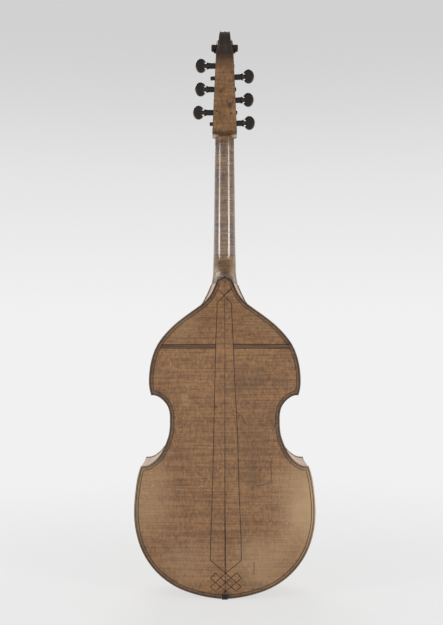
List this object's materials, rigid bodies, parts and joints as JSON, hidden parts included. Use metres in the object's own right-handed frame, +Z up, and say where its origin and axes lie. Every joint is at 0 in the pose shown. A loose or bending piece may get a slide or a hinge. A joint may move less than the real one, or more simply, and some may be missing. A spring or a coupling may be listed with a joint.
{
  "type": "viola da gamba",
  "caption": "Bass viol with a flat bent back, sloping shoulders, carved scroll, tuning pegs, arched belly with C holes, bridge, tailpiece on a hook bar and gut strings.",
  "frame": {"origin": "centre of the flat outer face of the hook bar at the tail, half way between the belly's edge and the back", "axes": "+Z up along the neck to the scroll, +Y out of the flat back, -Y out of the arched belly, -X the bass side"},
  "size_m": [0.3684, 0.2153, 1.1818],
  "materials": {
    "back_maple": "satin",
    "rib_maple": "satin",
    "belly_spruce": "satin",
    "inside_wood": "matte",
    "neck_maple": "gloss",
    "pegbox_maple": "satin",
    "dark_wood": "satin",
    "bridge_maple": "matte",
    "gut": "satin",
    "wound_string": "satin"
  },
  "bodies": {
    "viol": {"back_bass_half": "back_maple", "back_treble_half": "back_maple", "belly_bass_half": "belly_spruce", "belly_treble_half": "belly_spruce", "upper_rib_bass": "rib_maple", "center_rib_bass": "rib_maple", "lower_rib_bass": "rib_maple", "upper_rib_treble": "rib_maple", "center_rib_treble": "rib_maple", "lower_rib_treble": "rib_maple", "top_block": "inside_wood", "tail_block": "inside_wood", "upper_corner_block_bass": "inside_wood", "lower_corner_block_bass": "inside_wood", "upper_corner_block_treble": "inside_wood", "lower_corner_block_treble": "inside_wood", "upper_back_lining_bass": "inside_wood", "center_back_lining_bass": "inside_wood", "lower_back_lining_bass": "inside_wood", "upper_back_lining_treble": "inside_wood", "center_back_lining_treble": "inside_wood", "lower_back_lining_treble": "inside_wood", "upper_belly_lining_bass": "inside_wood", "center_belly_lining_bass": "inside_wood", "lower_belly_lining_bass": "inside_wood", "upper_belly_lining_treble": "inside_wood", "center_belly_lining_treble": "inside_wood", "lower_belly_lining_treble": "inside_wood", "bend_brace": "inside_wood", "lower_back_brace": "inside_wood", "upper_back_brace": "inside_wood", "soundpost_plate": "inside_wood", "soundpost": "inside_wood", "bass_bar": "inside_wood", "neck": "neck_maple", "pegbox_and_scroll": "pegbox_maple", "fingerboard": "dark_wood", "nut": "dark_wood", "bridge": "bridge_maple", "tailpiece": "dark_wood", "hook_bar": "dark_wood", "string_1": "gut", "string_2": "gut", "string_3": "gut", "string_4": "wound_string", "string_5": "wound_string", "string_6": "wound_string"},
    "peg_1_body": {"peg_1": "dark_wood", "string_winding_1": "gut"},
    "peg_2_body": {"peg_2": "dark_wood", "string_winding_2": "gut"},
    "peg_3_body": {"peg_3": "dark_wood", "string_winding_3": "gut"},
    "peg_4_body": {"peg_4": "dark_wood", "string_winding_4": "wound_string"},
    "peg_5_body": {"peg_5": "dark_wood", "string_winding_5": "wound_string"},
    "peg_6_body": {"peg_6": "dark_wood", "string_winding_6": "wound_string"}
  },
  "joints": [
    {"name": "peg_1_turn", "type": "hinge", "parent": "viol", "child": "peg_1_body", "pos_m": [0.02412, -0.02963, 1.0125], "axis": [1, 0, 0], "continuous": true},
    {"name": "peg_2_turn", "type": "hinge", "parent": "viol", "child": "peg_2_body", "pos_m": [0.02181, -0.02054, 1.0595], "axis": [1, 0, 0], "continuous": true},
    {"name": "peg_3_turn", "type": "hinge", "parent": "viol", "child": "peg_3_body", "pos_m": [0.01951, -0.01146, 1.1065], "axis": [1, 0, 0], "continuous": true},
    {"name": "peg_4_turn", "type": "hinge", "parent": "viol", "child": "peg_4_body", "pos_m": [-0.02054, -0.01552, 1.08379], "axis": [-0.9985, 0, 0.0541], "continuous": true},
    {"name": "peg_5_turn", "type": "hinge", "parent": "viol", "child": "peg_5_body", "pos_m": [-0.02284, -0.0246, 1.03749], "axis": [-0.9994, 0, 0.0349], "continuous": true},
    {"name": "peg_6_turn", "type": "hinge", "parent": "viol", "child": "peg_6_body", "pos_m": [-0.02515, -0.03369, 0.99063], "axis": [-0.9996, 0, 0.0297], "continuous": true}
  ]
}
